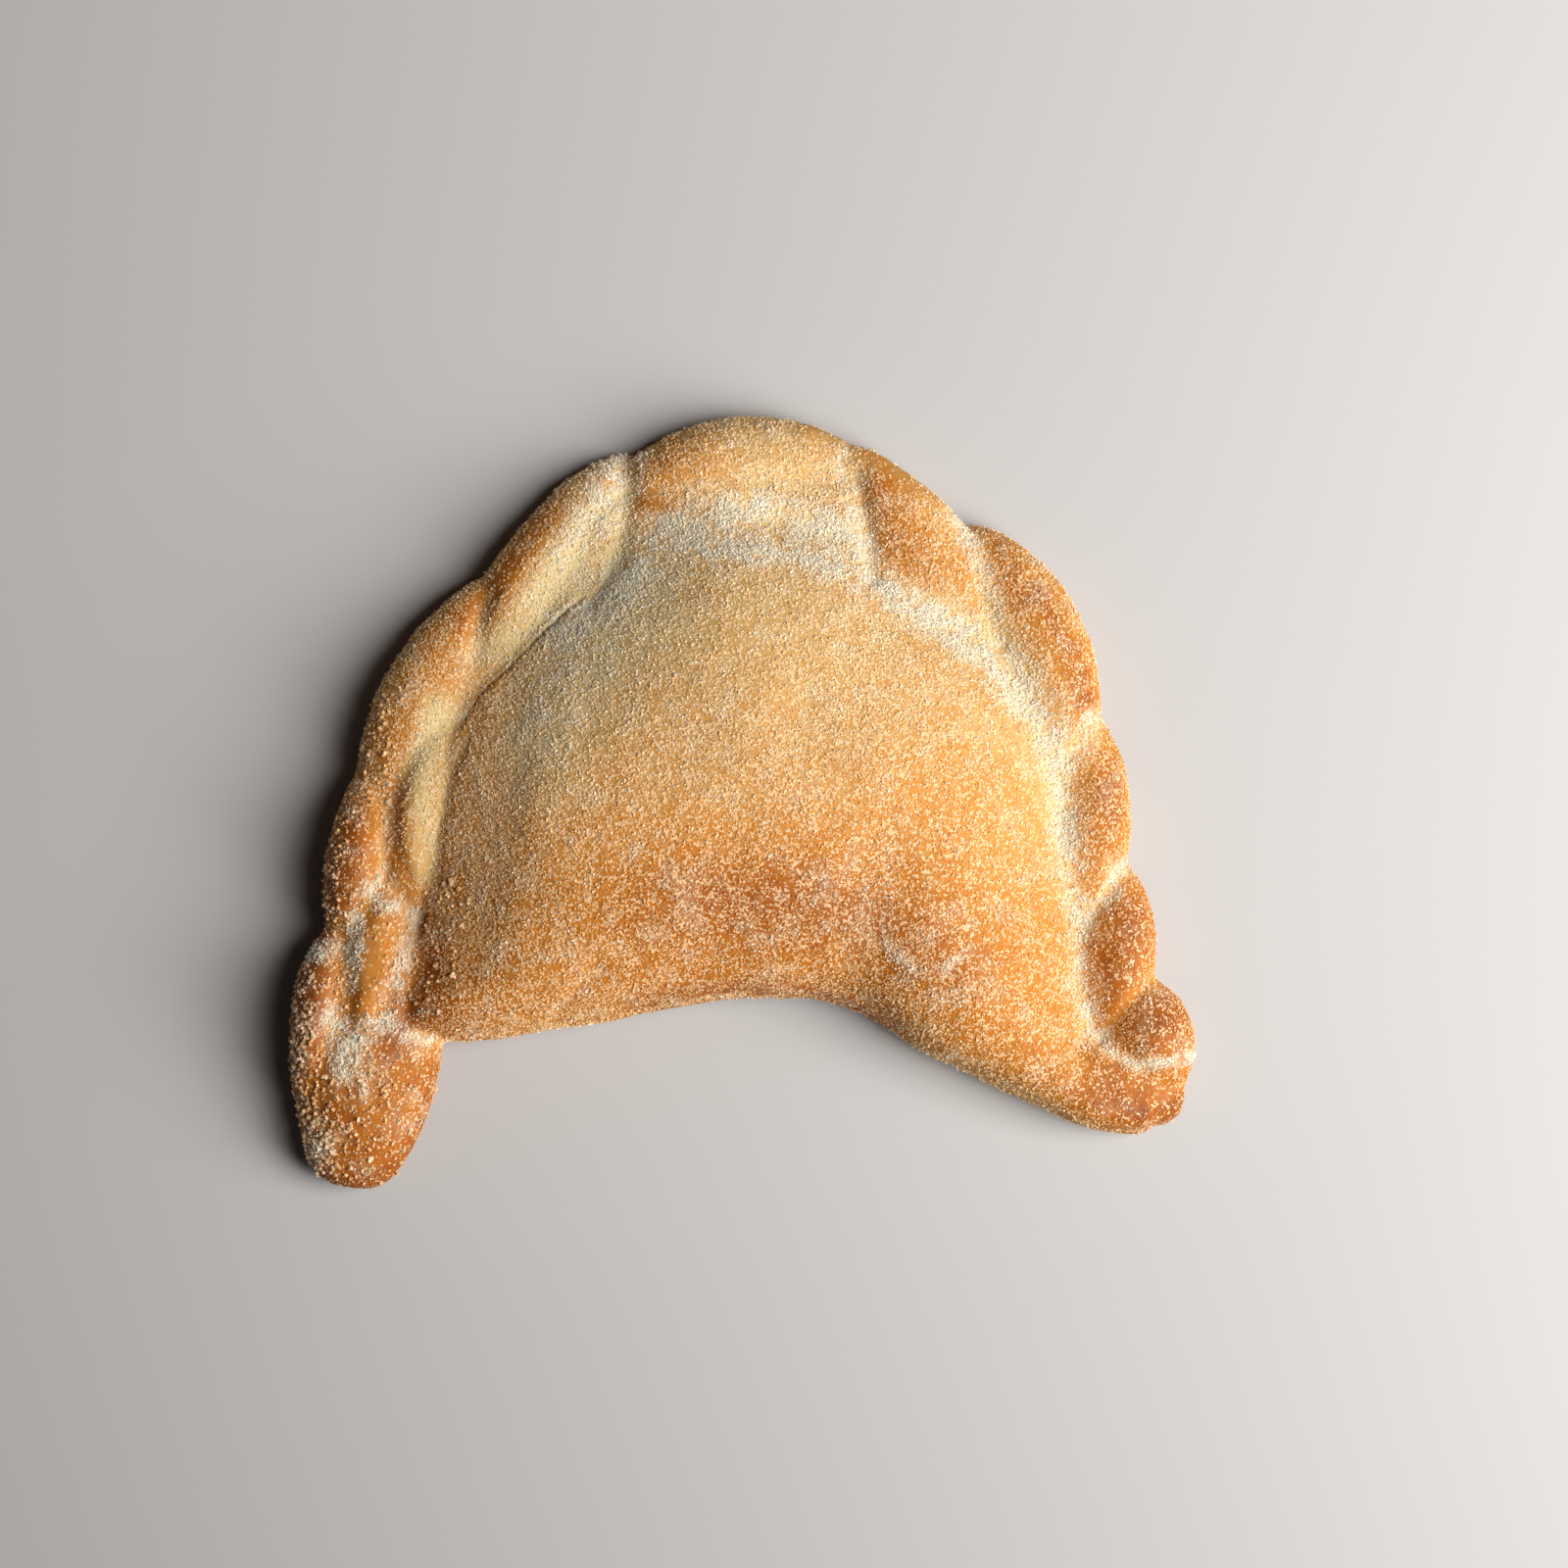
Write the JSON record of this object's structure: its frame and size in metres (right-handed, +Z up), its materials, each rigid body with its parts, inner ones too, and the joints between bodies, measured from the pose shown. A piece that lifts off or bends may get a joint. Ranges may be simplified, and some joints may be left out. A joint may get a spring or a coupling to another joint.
{
  "type": "empanada",
  "caption": "Baked half-moon turnover with a high filled belly and a twisted rope rim, lying flat.",
  "frame": {"origin": "on the table under the middle of the outline", "axes": "+X from the finger-like left tip towards the blunt right tip, +Y towards the crown of the rope, +Z up"},
  "size_m": [0.1206, 0.1034, 0.024],
  "materials": {
    "crust": "pale golden baked sweet dough, orange brown where it browned, satin under the sugar",
    "sugar": "loose white granulated sugar crystals that cling to the crust"
  },
  "bodies": {
    "root": {"crust": "crust"}
  },
  "joints": []
}
